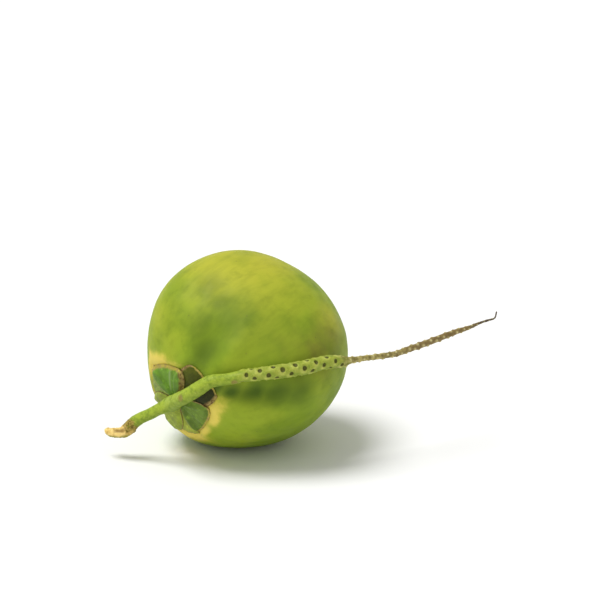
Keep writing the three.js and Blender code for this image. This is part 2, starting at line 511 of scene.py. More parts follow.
def finish_piece(bm, name, attributes, nodes, material):
    """Turns a bmesh into a piece that rides on the frame and stands for its CAD nodes."""
    mesh = bpy.data.meshes.new(name)
    bm.to_mesh(mesh)
    bm.free()
    mesh.polygons.foreach_set("use_smooth", [True] * len(mesh.polygons))
    for key, values in attributes.items():
        layer = mesh.attributes.new(key, "FLOAT", "POINT")
        layer.data.foreach_set("value", np.asarray(values, dtype=np.float32))
    mesh.materials.append(material)
    piece = bpy.data.objects.new(name, mesh)
    bpy.context.scene.collection.objects.link(piece)
    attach(piece, "root")
    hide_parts(*nodes)
    return piece


def move_verts(verts, points):
    for vert, point in zip(verts, points):
        vert.co = point


def new_material(name):
    material = bpy.data.materials.new(name)
    material.use_nodes = True
    tree = material.node_tree
    shader = tree.nodes["Principled BSDF"]
    return material, tree, shader


def add_node(tree, kind, inputs=None, **settings):
    """Adds a node. Each input is a value, or a socket to link from."""
    made = tree.nodes.new(kind)
    for key, value in settings.items():
        setattr(made, key, value)
    for key, value in (inputs or {}).items():
        if isinstance(value, bpy.types.NodeSocket):
            tree.links.new(value, made.inputs[key])
        else:
            made.inputs[key].default_value = value
    return made


def mix_colour(tree, share, first, second):
    # Inputs 6 and 7 and output 2 are the mix node's colour sockets.
    values = {0: share, 6: first, 7: second}
    return add_node(tree, "ShaderNodeMix", values, data_type="RGBA").outputs[2]


def math_node(tree, operation, first, second=0.0, third=0.0, clamp=False):
    values = {0: first, 1: second, 2: third}
    return add_node(
        tree, "ShaderNodeMath", values, operation=operation, use_clamp=clamp
    ).outputs[0]


def rise_node(tree, value, low, high, low_out=0.0, high_out=1.0):
    made = add_node(
        tree,
        "ShaderNodeMapRange",
        {"Value": value, "From Min": low, "From Max": high, "To Min": low_out, "To Max": high_out},
        interpolation_type="SMOOTHSTEP",
    )
    return made.outputs["Result"]


def attribute_node(tree, key):
    return add_node(tree, "ShaderNodeAttribute", attribute_name=key).outputs["Fac"]


def noise_node(tree, vector, scale, detail=3.0, roughness=0.5):
    made = add_node(
        tree,
        "ShaderNodeTexNoise",
        {"Vector": vector, "Scale": scale, "Detail": detail, "Roughness": roughness},
    )
    return made.outputs["Fac"]


def mapping_node(tree, vector, location=(0, 0, 0), rotation=(0, 0, 0), scale=(1, 1, 1)):
    made = add_node(
        tree,
        "ShaderNodeMapping",
        {"Vector": vector, "Location": location, "Rotation": rotation, "Scale": scale},
    )
    return made.outputs["Vector"]


def bump_node(tree, height, strength, distance, normal=None):
    inputs = {"Height": height, "Strength": strength, "Distance": distance}
    if normal is not None:
        inputs["Normal"] = normal
    return add_node(tree, "ShaderNodeBump", inputs).outputs["Normal"]


# ---------------------------------------------------------------------------
# The husk
# ---------------------------------------------------------------------------

# Zones of tone on the skin: polar angle, azimuth, their spreads and strength.
# The sunny zones are partly sun-yellowed skin and partly painted light on the top of the husk.
SUNNY_ZONES = (
    (106, 92, 42, 44, 0.95),
    (46, 108, 26, 24, 0.45),
    (119, 18, 16, 16, 0.8),
    (110, 200, 38, 40, 0.5),
    (52, 330, 12, 20, 0.15),
)
# The shaded zones are painted shade: painted shadow of the spikelet along the band below it and
# painted shade in the hollows, over some darker blotches of the skin.
SHADED_ZONES = (
    (42, 58, 15, 13, 0.62),
    (52, 74, 12, 10, 0.50),
    (72, 50, 26, 24, 0.42),
    (77, 86, 10, 9, 0.55),
    (73, 75, 10, 10, 0.48),
    (32, 24, 8, 9, 1.1),
    (40, 15, 9, 8, 1.2),
    (50, 9, 11, 8, 1.05),
    (62, 3, 13, 8, 0.85),
    (76, 358, 16, 10, 0.60),
    (104, 346, 26, 22, 0.38),
    (62, 346, 20, 16, 0.22),
    (88, 285, 30, 26, 0.22),
    (120, 140, 24, 18, 0.22),
)
RUBBED_ZONES = (
    (102, 12, 20, 13, 0.9),
    (88, 22, 18, 12, 0.45),
    (122, 252, 18, 20, 0.5),
    (140, 120, 12, 14, 0.35),
)

# Where the pale skin shows beyond the tepals: azimuth, spread round the stem end, width
# away from the calyx and strength.
CREAM_ZONES = (
    (128, 36, 6.0, 1.1),
    (92, 20, 3.0, 0.6),
    (350, 22, 6.0, 1.1),
    (305, 26, 4.5, 0.9),
    (262, 34, 10.0, 1.15),
    (205, 34, 3.5, 0.7),
)

FLECK = (0.140, 0.110, 0.035, 1)
BLOSSOM_SCAR = (0.095, 0.055, 0.025, 1)


def husk_material(husk):
    material, tree, shader = new_material("husk_skin")
    place = add_node(tree, "ShaderNodeTexCoord").outputs["Object"]
    # The fruit's axis is laid along the pattern's Z, so that streaks run from end to end.
    back = LAY.inverted()
    along_axis = mapping_node(tree, place, back.to_translation(), back.to_euler())
    streaky = mapping_node(tree, along_axis, scale=(1, 1, 0.22))

    # Broad tones: a deeper green that is painted shade in the hollows and painted shadow under the
    # spikelet, and a yellower one that is partly sun-yellowed skin and partly painted light on the
    # top of the husk.
    clouds = noise_node(tree, along_axis, 26, 3, 0.45)
    broad = rise_node(tree, clouds, 0.36, 0.66, -0.16, 0.16)
    sunny = math_node(tree, "SUBTRACT", attribute_node(tree, "sunny"), broad, clamp=True)
    skin = mix_colour(tree, sunny, husk.green, husk.sunny_green)
    deep = math_node(tree, "ADD", attribute_node(tree, "shaded"), broad, clamp=True)
    skin = mix_colour(tree, deep, skin, husk.deep_green)
    # Fine tones: faint streaks from end to end and small soft blotches.
    streaks = rise_node(tree, noise_node(tree, streaky, 150, 4, 0.6), 0.40, 0.72, 0.0, 0.18)
    skin = mix_colour(tree, streaks, skin, husk.deep_green)
    mottle = rise_node(tree, noise_node(tree, along_axis, 70, 5, 0.6), 0.52, 0.74, 0.0, 0.20)
    skin = mix_colour(tree, mottle, skin, husk.deep_green)
    tan = math_node(
        tree,
        "MULTIPLY",
        attribute_node(tree, "rub"),
        rise_node(tree, noise_node(tree, along_axis, 60, 4, 0.6), 0.30, 0.70, 0.35, 0.9),
    )
    skin = mix_colour(tree, tan, skin, husk.rubbed)

    ragged = noise_node(tree, along_axis, 150, 5, 0.65)
    cream = attribute_node(tree, "cream")
    skin = mix_colour(tree, rise_node(tree, cream, 0.02, 0.6, 0, 0.7), skin, husk.sunny_green)
    fringe = math_node(tree, "MULTIPLY_ADD", ragged, 0.8, -0.4)
    cream = math_node(tree, "ADD", cream, fringe)
    skin = mix_colour(tree, rise_node(tree, cream, 0.15, 0.85), skin, husk.cream)

    flecks = add_node(
        tree,
        "ShaderNodeTexVoronoi",
        {"Vector": along_axis, "Scale": 210.0, "Randomness": 1.0},
        feature="F1",
    )
    near_fleck = rise_node(tree, flecks.outputs["Distance"], 0.16, 0.05)
    chosen = add_node(tree, "ShaderNodeSeparateColor", {0: flecks.outputs["Color"]}).outputs[0]
    chosen = rise_node(tree, chosen, 0.93, 0.95)
    fleck = math_node(tree, "MULTIPLY", near_fleck, chosen)
    skin = mix_colour(tree, math_node(tree, "MULTIPLY", fleck, 0.6), skin, FLECK)
    skin = mix_colour(tree, attribute_node(tree, "blossom_scar"), skin, BLOSSOM_SCAR)

    tree.links.new(skin, shader.inputs["Base Color"])
    rough = rise_node(tree, noise_node(tree, along_axis, 90, 4, 0.6), 0.3, 0.7, 0.50, 0.62)
    tree.links.new(rough, shader.inputs["Roughness"])
    shader.inputs["Specular IOR Level"].default_value = 0.16
    pores = noise_node(tree, along_axis, 900, 3, 0.6)
    fibres = noise_node(tree, streaky, 420, 3, 0.5)
    bump = bump_node(tree, pores, 0.12, 0.2 * MM)
    bump = bump_node(tree, fibres, 0.18, 0.3 * MM, bump)
    tree.links.new(bump, shader.inputs["Normal"])
    return material


def toned(zones, polar, azimuth):
    """The strength of a tone at each place, from its list of zones."""
    tone = np.zeros_like(polar)
    for middle, turn, polar_spread, turn_spread, strength in zones:
        zone = bell(polar - middle, polar_spread)
        zone = zone * bell(turn_between(azimuth, turn), turn_spread)
        tone = np.maximum(tone, strength * zone)
    return tone


def cream_tone(polar, azimuth):
    """How strongly the pale skin shows beyond the calyx's outline."""
    beyond = np.maximum(-calyx_depth(polar, azimuth), 0)
    cream = np.zeros_like(polar)
    for turn, turn_spread, width, strength in CREAM_ZONES:
        zone = strength * bell(turn_between(azimuth, turn), turn_spread)
        cream = np.maximum(cream, zone * bell(beyond, width))
    return cream


def husk_tones(husk, bm):
    """Each tone of the skin at every vertex of the husk, once it is laid down and cut."""
    own = moved(np.array([vert.co for vert in bm.verts]), LAY.inverted())
    azimuth = np.degrees(np.arctan2(own[:, 1], own[:, 0]))
    # The polar angle comes from the height along the fruit's axis.
    table = np.linspace(0, 180, 721)
    heights = husk_points(husk, table, np.zeros_like(table))[:, 2]
    polar = np.interp(-own[:, 2], -heights, table)
    unit = own / np.linalg.norm(own, axis=1, keepdims=True)
    scar_edge = 3.4 + 0.8 * wander(unit, 0.05, 3)
    return {
        "cream": cream_tone(polar, azimuth),
        "sunny": toned(SUNNY_ZONES, polar, azimuth),
        "shaded": toned(SHADED_ZONES, polar, azimuth),
        "rub": toned(RUBBED_ZONES, polar, azimuth),
        "blossom_scar": smooth_rise(-(180 - polar) + scar_edge, 0, 1.2),
    }


def cut_flat_spot(bm):
    """Cuts the husk off level with the ground and closes it with one flat face."""
    cut = bmesh.ops.bisect_plane(
        bm,
        geom=bm.verts[:] + bm.edges[:] + bm.faces[:],
        dist=1e-7,
        plane_co=(0, 0, 0),
        plane_no=(0, 0, -1),
        clear_outer=True,
    )
    rim = [item for item in cut["geom_cut"] if isinstance(item, bmesh.types.BMEdge)]
    for edge in rim:
        edge.smooth = False
    bmesh.ops.holes_fill(bm, edges=rim, sides=len(rim))


def make_husk(husk):
    bm = bmesh.new()
    bmesh.ops.create_icosphere(bm, subdivisions=7, radius=1)
    ball = np.array([vert.co for vert in bm.verts])
    polar = np.degrees(np.arccos(np.clip(ball[:, 2], -1, 1)))
    azimuth = np.degrees(np.arctan2(ball[:, 1], ball[:, 0]))
    points = husk_points(husk, polar, azimuth)
    soft = wander(points, 34 * MM, 1) + 0.4 * wander(points, 13 * MM, 2)
    clear_of_calyx = smooth_rise(-calyx_depth(polar, azimuth), 0, 14)
    relief = husk.unevenness * soft * clear_of_calyx - nest_depth(polar, azimuth)
    points += ball * relief[:, None]
    # The dry blossom scar is a small point in a shallow ring.
    from_tip = 180 - polar
    scar_rise = 1.6 * MM * bell(from_tip, 1.5) - 0.5 * MM * bell(from_tip - 4, 2)
    points += ball * scar_rise[:, None]
    move_verts(bm.verts, lay_down(points))
    cut_flat_spot(bm)
    tones = husk_tones(husk, bm)
    return finish_piece(bm, "coconut_husk", tones, ["husk"], husk_material(husk))


# ---------------------------------------------------------------------------
# The calyx
# ---------------------------------------------------------------------------

# Each tepal's green, its share of dry patches, the strength of its pale middle line,
# whether that line slants, how much painted shadow of the spikelet darkens its right side,
# and the widths of its dry margins in millimetres.
TepalLook = namedtuple("TepalLook", "tint patches line slanted gloom left right tip")
TEPAL_LOOKS = {
    # The first inner tepal's dark tint is partly painted shade, where it lies recessed under the
    # spikelet.
    "inner_tepal_1": TepalLook((0.096, 0.112, 0.008, 1), 0.6, 0.0, False, 0.8, 2.0, 2.2, 1.4),
    "inner_tepal_2": TepalLook((0.300, 0.410, 0.070, 1), 0.15, 0.3, False, 0.0, 0.5, 0.5, 0.9),
    "inner_tepal_3": TepalLook((0.400, 0.470, 0.055, 1), 0.15, 0.2, False, 0.0, 0.4, 0.4, 1.0),
    "outer_tepal_1": TepalLook((0.165, 0.330, 0.030, 1), 0.10, 1.0, True, 0.0, 0.4, 3.8, 2.4),
    "outer_tepal_2": TepalLook((0.360, 0.450, 0.055, 1), 0.15, 0.4, False, 0.0, 0.4, 0.4, 1.0),
    "outer_tepal_3": TepalLook((0.170, 0.275, 0.036, 1), 0.20, 0.2, False, 0.0, 0.4, 0.9, 1.4),
}
KEEL_GREEN = (0.330, 0.440, 0.180, 1)
# Colour of the painted shadow of the spikelet on the tepals.
SPIKELET_SHADOW_COLOUR = (0.014, 0.016, 0.004, 1)
TEPAL_UNDERSIDE = (0.330, 0.300, 0.110, 1)


def tepal_material(name, calyx):
    look = TEPAL_LOOKS[name]
    tint = look.tint
    material, tree, shader = new_material(name + "_skin")
    uv = add_node(tree, "ShaderNodeUVMap", uv_map="UVMap").outputs["UV"]
    place = add_node(tree, "ShaderNodeTexCoord").outputs["Object"]
    veins = noise_node(tree, mapping_node(tree, uv, scale=(46, 3.5, 1)), 1.0, 3, 0.55)
    clouds = noise_node(tree, place, 120, 4, 0.6)
    deep = [0.62 * part for part in tint[:3]] + [1]
    pale = [1.6 * part + 0.03 for part in tint[:2]] + [1.4 * tint[2], 1]
    skin = mix_colour(tree, rise_node(tree, clouds, 0.34, 0.68), deep, tint)
    spots = rise_node(tree, noise_node(tree, place, 260, 4, 0.65), 0.54, 0.70, 0, 0.6)
    skin = mix_colour(tree, spots, skin, pale)
    skin = mix_colour(tree, rise_node(tree, veins, 0.42, 0.75, 0, 0.45), skin, deep)
    middle = math_node(tree, "MULTIPLY", attribute_node(tree, "keel"), 0.6 * look.line)
    skin = mix_colour(tree, middle, skin, KEEL_GREEN)
    patch = rise_node(tree, noise_node(tree, place, 75, 3, 0.6), 0.58, 0.72, 0, look.patches)
    skin = mix_colour(tree, patch, skin, calyx.dry)
    # Painted shadow of the spikelet over the tepal's right side.
    gloom = math_node(tree, "MULTIPLY", attribute_node(tree, "right_side"), look.gloom)
    skin = mix_colour(tree, gloom, skin, SPIKELET_SHADOW_COLOUR)

    ragged = noise_node(tree, place, 330, 5, 0.7)
    loosened = math_node(tree, "MULTIPLY", ragged, 1.5)
    margin = math_node(tree, "SUBTRACT", attribute_node(tree, "margin"), loosened)
    brown = rise_node(tree, margin, 0.75, 0.0)
    crumbs = rise_node(tree, ragged, 0.4, 0.62)
    side_crust = mix_colour(tree, crumbs, calyx.dry, calyx.bark)
    tip_crust = mix_colour(tree, crumbs, calyx.straw, calyx.dry)
    crust = mix_colour(tree, attribute_node(tree, "tip"), side_crust, tip_crust)
    crust = mix_colour(tree, rise_node(tree, veins, 0.5, 0.7, 0, 0.6), crust, calyx.straw)
    skin = mix_colour(tree, brown, skin, crust)
    underside = math_node(tree, "MULTIPLY", attribute_node(tree, "underside"), 0.7)
    skin = mix_colour(tree, underside, skin, TEPAL_UNDERSIDE)

    tree.links.new(skin, shader.inputs["Base Color"])
    rough = rise_node(tree, clouds, 0.3, 0.7, 0.48, 0.62)
    tree.links.new(rough, shader.inputs["Roughness"])
    shader.inputs["Specular IOR Level"].default_value = 0.15
    bump = bump_node(tree, veins, 0.35, 0.35 * MM)
    bump = bump_node(tree, ragged, 0.2, 0.2 * MM, bump)
    tree.links.new(bump, shader.inputs["Normal"])
    return material


def support_height(polar, azimuth, calyx):
    """How high the inner tepals stand off the husk, rising just outside their edges."""
    height = np.zeros_like(polar)
    for tepal in INNER_TEPALS:
        inside = smooth_rise(tepal_depth(tepal, polar, azimuth), -1.6, 0.8)
        height = np.maximum(height, inside * (calyx.lift + calyx.thickness))
    return height


def tepal_sheet(bm):
    """A closed double sheet, with each vertex's side, run and whether it is on top.

    The side goes from -1 to 1 across the tepal and the run from 0 at its base to 1 at its tip.
    """
    bm.loops.layers.uv.new("UVMap")
    bmesh.ops.create_grid(bm, x_segments=64, y_segments=52, size=1, calc_uvs=True)
    bottom = set(bm.verts)
    bmesh.ops.extrude_face_region(bm, geom=bm.faces[:], use_keep_orig=True)
    verts = bm.verts[:]
    flat = np.array([vert.co for vert in verts])
    is_top = np.array([vert not in bottom for vert in verts])
    return -flat[:, 0], (flat[:, 1] + 1) / 2, is_top


def tepal_thickness(calyx, outer, inset, side, run, keel, seed):
    """The thickness, thin at the dry margin, with a keel and fine furrows."""
    full = calyx.outer_thickness if outer else calyx.thickness
    body = smooth_rise(inset, 0, 5 * MM if outer else 3.4 * MM)
    furrows = sheet_wander(side * 14, run * 0.8, 0.8, seed + 60)
    thickness = mix(calyx.edge_thickness, full, body)
    thickness += 0.3 * MM * keel
    thickness += 0.12 * MM * furrows * body
    return thickness


def make_tepal(husk, calyx, name, tepal, outer, seed):
    turn, reach, _half_width, _spread = tepal
    look = TEPAL_LOOKS[name]
    bm = bmesh.new()
    side, run, is_top = tepal_sheet(bm)

    # The outline is a little notched and fringed.
    notches = sheet_wander(side * 2.2, run * 0, 0.35, seed)
    fringe = sheet_wander(side * 9, run * 9, 0.8, seed + 20)
    tip = reach * (1 - TEPAL_CORNER_DROP * np.abs(side) ** 3)
    tip = tip * (1 + 0.02 * notches) + 0.2 * fringe
    along = mix(TEPAL_BASE, tip, run)
    side_wave = 0.03 * sheet_wander(run * 3, side * 0 + 9, 0.5, seed + 40)
    half_width = tepal_half_width(tepal, along, run)
    across = side * half_width * (1 + side_wave) + 0.12 * fringe * side
    polar = np.hypot(across, along)
    azimuth = turn + np.degrees(np.arctan2(across, along))

    # How far each place lies inside the edges, as a length and in widths of the dry margin.
    degree = math.radians(husk.girth_radius)
    side_inset = (1 - np.abs(side)) * half_width * degree
    tip_inset = (tip - along) * degree
    inset = np.minimum(side_inset, tip_inset)
    side_margin = side_inset / (MM * np.where(side > 0, look.left, look.right))
    tip_margin = tip_inset / (MM * look.tip)
    keel_line = side - mix(0.2, -0.38, run) if look.slanted else side
    keel = bell(keel_line, 0.05) * smooth_rise(run, 0.12, 0.3) * smooth_rise(-run, -0.98, -0.75)

    # An outer tepal rests on the inner ones, and every edge curls up a little.
    rest = support_height(polar, azimuth, calyx) if outer else 0
    curl = smooth_rise(-inset, -2.6 * MM, 0)
    lift = calyx.lift + rest + curl * (0.1 + 0.35 * notches.clip(-0.3, 1)) * MM
    thickness = tepal_thickness(calyx, outer, inset, side, run, keel, seed)
    height = lift + np.where(is_top, thickness, 0) - nest_depth(polar, azimuth)
    points = husk_points(husk, polar, azimuth)
    points += husk_normals(husk, polar, azimuth) * height[:, None]
    move_verts(bm.verts, lay_down(points))
    bmesh.ops.recalc_face_normals(bm, faces=bm.faces[:])

    attributes = {
        "margin": np.minimum(side_margin, tip_margin),
        "tip": smooth_rise(side_margin - tip_margin, -0.3, 0.6),
        "keel": keel,
        "right_side": smooth_rise(-side, -0.3, 0.4),
        "underside": 1.0 - is_top,
    }
    material = tepal_material(name, calyx)
    return finish_piece(bm, "coconut_" + name, attributes, [name], material)


# ---------------------------------------------------------------------------
# The spikelet
# ---------------------------------------------------------------------------

# The arc length and radius of each ring of the tube, and the angles of a ring's points.
Tube = namedtuple("Tube", "run angles radius")


def smooth_line(points, step):
    """A smooth curve through the points, as evenly spaced rows and their arc lengths."""
    points = np.asarray(points, dtype=float)
    spacing = np.sqrt(np.linalg.norm(np.diff(points[:, :3], axis=0), axis=1))
    knots = np.concatenate([[0], np.cumsum(spacing)])
    slopes = np.gradient(points, knots, axis=0)
    fine = np.linspace(0, knots[-1], 6000)
    span = np.clip(np.searchsorted(knots, fine, "right") - 1, 0, len(knots) - 2)
    width = (knots[span + 1] - knots[span])[:, None]
    t = ((fine - knots[span])[:, None]) / width
    curve = (
        (2 * t**3 - 3 * t**2 + 1) * points[span]
        + (t**3 - 2 * t**2 + t) * width * slopes[span]
        + (3 * t**2 - 2 * t**3) * points[span + 1]
        + (t**3 - t**2) * width * slopes[span + 1]
    )
    run = np.concatenate([[0], np.cumsum(np.linalg.norm(np.diff(curve[:, :3], axis=0), axis=1))])
    even = np.linspace(0, run[-1], int(run[-1] / step) + 1)
    rows = np.stack([np.interp(even, run, curve[:, i]) for i in range(points.shape[1])], -1)
    return rows, even


def turning_frames(centres):
    """Two side directions along a line, carried along without twisting."""
    tangents = np.gradient(centres, axis=0)
    tangents /= np.linalg.norm(tangents, axis=1, keepdims=True)
    side = np.cross(tangents[0], (0, 0, 1))
    side /= np.linalg.norm(side)
    sides = [side]
    for tangent in tangents[1:]:
        side = side - tangent * side.dot(tangent)
        side /= np.linalg.norm(side)
        sides.append(side)
    sides = np.array(sides)
    return sides, np.cross(tangents, sides)


def nearest(centres, place):
    """The index of the point of the line that is nearest a place in millimetres."""
    return np.argmin(np.linalg.norm(centres - np.array(place) * MM, axis=1))


def press(relief, tube, spot, shape):
    """Adds shape(distance) round one spot of the tube, distance 1 being the spot's edge."""
    where, turn, half_length, half_width = spot
    near = np.abs(tube.run - where) < 2.6 * half_length
    off_run = (tube.run[near, None] - where) / half_length
    off_turn = (tube.angles[None, :] - turn + np.pi) % (2 * np.pi) - np.pi
    off_side = off_turn * tube.radius[near, None] / half_width
    relief[near] += shape(np.hypot(off_run, off_side))


def add_pits(look, tube, marks, rng, height, pits, rims):
    """The pits that the fallen flowers left, each with a raised rim."""
    count = int((marks["pits_end"] - marks["pits_start"]) / PIT_STEP)
    for k in range(count):
        where = marks["pits_start"] + k * PIT_STEP + rng.uniform(-0.4, 0.4) * MM
        turn = FIRST_PIT_TURN + k * GOLDEN_ANGLE + rng.uniform(-0.12, 0.12)
        size = rng.uniform(0.9, 1.15) * (0.85 + 0.15 * math.sin(math.pi * (k + 0.5) / count))
        depth = look.pit_depth * rng.uniform(0.75, 1.1) * size
        spot = (where, turn, 2.3 * MM * size, 2.9 * MM * size)
        lip = (where - 1.1 * MM, turn + 0.3, 2.6 * MM * size, 3.0 * MM * size)
        press(pits, tube, spot, lambda d: 1.0 - smooth_rise(d, 0.6, 1.0))
        press(rims, tube, lip, lambda d: 0.9 * bell(d, 1.1))
        press(height, tube, spot, lambda d: -depth * (1.0 - smooth_rise(d, 0.4, 1.0)))
        press(height, tube, spot, lambda d: 0.6 * MM * bell(d - 1.3, 0.4))


def add_knobs(tube, marks, rng, height, pits, rims):
    """The knobs of the dry end, each with a small hollow."""
    count = int((marks["tip"] - 6 * MM - marks["pits_end"]) / KNOB_STEP)
    for k in range(count):
        where = marks["pits_end"] + k * KNOB_STEP + rng.uniform(-0.35, 0.35) * MM
        turn = FIRST_PIT_TURN + k * GOLDEN_ANGLE + rng.uniform(-0.2, 0.2)
        local = np.interp(where, tube.run, tube.radius)
        size = rng.uniform(0.85, 1.15) * (local / (3 * MM)) ** 0.7
        spot = (where, turn, 1.9 * MM * size, 1.7 * MM * size)
        hollow = (where + 0.9 * MM * size, turn, 0.6 * MM * size, 0.7 * MM * size)
        press(rims, tube, spot, lambda d: bell(d, 0.6))
        press(pits, tube, hollow, lambda d: 0.7 * bell(d, 0.8))
        press(height, tube, spot, lambda d: 0.34 * local * bell(d, 0.7))
        press(height, tube, hollow, lambda d: -0.15 * local * bell(d, 0.8))


def spikelet_relief(look, tube, marks):
    """Height over the plain tube, and how far each place is in a pit or on a rim."""
    shape = (len(tube.run), len(tube.angles))
    height, pits, rims = np.zeros(shape), np.zeros(shape), np.zeros(shape)
    rng = np.random.default_rng(7)
    add_pits(look, tube, marks, rng, height, pits, rims)
    add_knobs(tube, marks, rng, height, pits, rims)
    # The knobs stand on a thinner stalk, so that the dry end keeps its width.
    beyond = smooth_rise(tube.run, marks["pits_end"], marks["pits_end"] + 6 * MM)[:, None]
    height -= 0.12 * tube.radius[:, None] * beyond
    return height, np.clip(pits, 0, 1), np.clip(rims, 0, 1)


def join_swell(husk, out, run, centres, join):
    """How much the stalk widens towards the fruit where the two are joined."""
    stem_end = np.array(LAY @ Vector((0, 0, husk.stem_half - husk.dimple_depth)))
    centre = centres[np.argmin(np.abs(run - join))]
    gap = np.linalg.norm(stem_end - centre)
    facing = np.clip(out @ ((stem_end - centre) / gap), 0, 1)
    reach = gap - 5.8 * MM + NEST
    return reach * facing**1.5 * bell(run - join, 7 * MM)[:, None]


def heel_tear(out, places, run, collar):
    """Where the heel's upper front is torn, and where bark is left on its underside."""
    ragged = 0.35 * wander(places, 5 * MM, 13)
    from_end = smooth_rise(run, 7 * MM, 12 * MM)[:, None]
    upper_front = out @ np.array(TEAR_SIDE)
    tear = from_end * smooth_rise(collar - run, 1 * MM, 4 * MM)[:, None]
    tear = tear * smooth_rise(upper_front - 0.5 * ragged, 0.74, 0.94)
    heel = smooth_rise(collar - run, 3 * MM, 9 * MM)[:, None]
    return tear, heel * smooth_rise(-out[..., 2] - ragged, 0.25, 0.7)


def add_stalk_scars(tube, centres, sides, ups, height):
    """Presses in the stalk's small round scars and says where they are."""
    scar = np.zeros_like(height)
    for place, facing in STALK_SCARS:
        at = nearest(centres, place)
        aim = np.array(facing) / np.linalg.norm(facing)
        turn = np.arctan2(ups[at] @ aim, sides[at] @ aim)
        spot = (tube.run[at], turn, STALK_SCAR_RADIUS, STALK_SCAR_RADIUS)
        press(scar, tube, spot, lambda d: 1.0 - smooth_rise(d, 0.4, 1.1))
        press(
            height,
            tube,
            spot,
            lambda d: 0.5 * MM * bell(d - 0.9, 0.35) - 0.4 * MM * bell(d, 0.5),
        )
    return np.clip(scar, 0, 1)


def shape_heel(points, centres, out, run, collar):
    """Flattens the torn heel, hollows its upper face and roughens it."""
    heel = smooth_rise(collar - run, 1 * MM, 8 * MM)[:, None]
    rise = points[..., 2] - centres[:, None, 2]
    upper = np.clip(out[..., 2], 0, 1)
    points[..., 2] -= heel * rise * 0.08
    points[..., 2] -= heel * 1.1 * MM * upper**2
    points += out * (heel * 0.45 * MM * wander(points, 1.6 * MM, 31))[..., None]


def tube_bmesh(points):
    """A closed tube through rings of points, drawn out ring by ring."""
    bm = bmesh.new()
    sides = points.shape[1]
    ring = bmesh.ops.create_circle(bm, cap_ends=True, segments=sides, radius=1)["verts"]
    move_verts(ring, points[0])
    edges = bm.edges[:]
    for row in points[1:]:
        made = bmesh.ops.extrude_edge_only(bm, edges=edges)["geom"]
        ring = [item for item in made if isinstance(item, bmesh.types.BMVert)]
        edges = [item for item in made if isinstance(item, bmesh.types.BMEdge)]
        edges = [edge for edge in edges if all(vert in ring for vert in edge.verts)]
        move_verts(ring, row)
    bmesh.ops.holes_fill(bm, edges=edges, sides=sides)
    bmesh.ops.recalc_face_normals(bm, faces=bm.faces[:])
    return bm


# Colours of the stalk, its dry end, its torn heel and its small marks, and the painted shade on
# the stalk's underside.
STALK_BLOTCH = (0.200, 0.290, 0.018, 1)
STALK_PALE = (0.540, 0.590, 0.110, 1)
STALK_UNDER_SHADE = (0.150, 0.230, 0.015, 1)
DRY_BLOTCH = (0.180, 0.145, 0.035, 1)
BROWNED = (0.190, 0.120, 0.040, 1)
TIP_DARK = (0.085, 0.055, 0.030, 1)
TIP_PALE = (0.270, 0.250, 0.150, 1)
TORN_BROWN = (0.560, 0.360, 0.080, 1)
HEEL_BARK = (0.270, 0.240, 0.030, 1)
KNOT_DARK = (0.150, 0.110, 0.006, 1)
KNOT_TAN = (0.400, 0.300, 0.060, 1)
TEAR_BROWN = (0.200, 0.105, 0.008, 1)
RIM_GREEN = (0.560, 0.590, 0.120, 1)
RIM_TAN = (0.800, 0.720, 0.340, 1)
PIT_DARK = (0.070, 0.072, 0.004, 1)
SCAR_BROWN = (0.270, 0.180, 0.050, 1)


def stalk_skin(tree, look, marks, run, clouds, fine):
    """The stalk's colour along its run, from fresh green to dry and withered."""
    start, end, tip = marks["pits_start"], marks["pits_end"], marks["tip"]
    pitted = rise_node(tree, run, start - 8 * MM, start + 6 * MM)
    green = mix_colour(tree, pitted, look.green, look.pitted_green)
    green = mix_colour(tree, rise_node(tree, clouds, 0.40, 0.66), green, STALK_BLOTCH)
    green = mix_colour(tree, rise_node(tree, fine, 0.55, 0.72, 0, 0.5), green, STALK_PALE)
    # Painted shade darkens the stalk's underside.
    green = mix_colour(tree, attribute_node(tree, "painted_under_shade"), green, STALK_UNDER_SHADE)
    dry = mix_colour(tree, rise_node(tree, clouds, 0.38, 0.64), look.dry, DRY_BLOTCH)
    drying = rise_node(tree, run, end - 14 * MM, end + 8 * MM)
    skin = mix_colour(tree, drying, green, dry)
    browning = rise_node(tree, run, tip - 135 * MM, tip - 80 * MM, 0, 0.8)
    skin = mix_colour(tree, browning, skin, BROWNED)
    withered = mix_colour(tree, rise_node(tree, clouds, 0.45, 0.65), TIP_DARK, TIP_PALE)
    withering = rise_node(tree, run, tip - 36 * MM, tip - 22 * MM)
    return mix_colour(tree, withering, skin, withered), drying


def heel_skin(tree, look, collar, run, clouds, fine, skin):
    """Lays the knotty collar and the torn heel over the stalk's colour."""
    knot_tint = mix_colour(tree, rise_node(tree, fine, 0.40, 0.60), KNOT_DARK, KNOT_TAN)
    knot = rise_node(tree, run, collar + 5 * MM, collar - 1 * MM)
    skin = mix_colour(tree, knot, skin, knot_tint)
    # The heel is torn: pale flesh, brown along the tear and olive bark on its underside.
    torn = mix_colour(tree, rise_node(tree, clouds, 0.4, 0.7), look.torn, TORN_BROWN)
    torn = mix_colour(tree, attribute_node(tree, "under"), torn, HEEL_BARK)
    flesh = rise_node(tree, run, collar - 4 * MM, collar - 9 * MM)
    skin = mix_colour(tree, flesh, skin, torn)
    tear = math_node(tree, "MULTIPLY", attribute_node(tree, "tear"), 0.85)
    return mix_colour(tree, tear, skin, TEAR_BROWN)


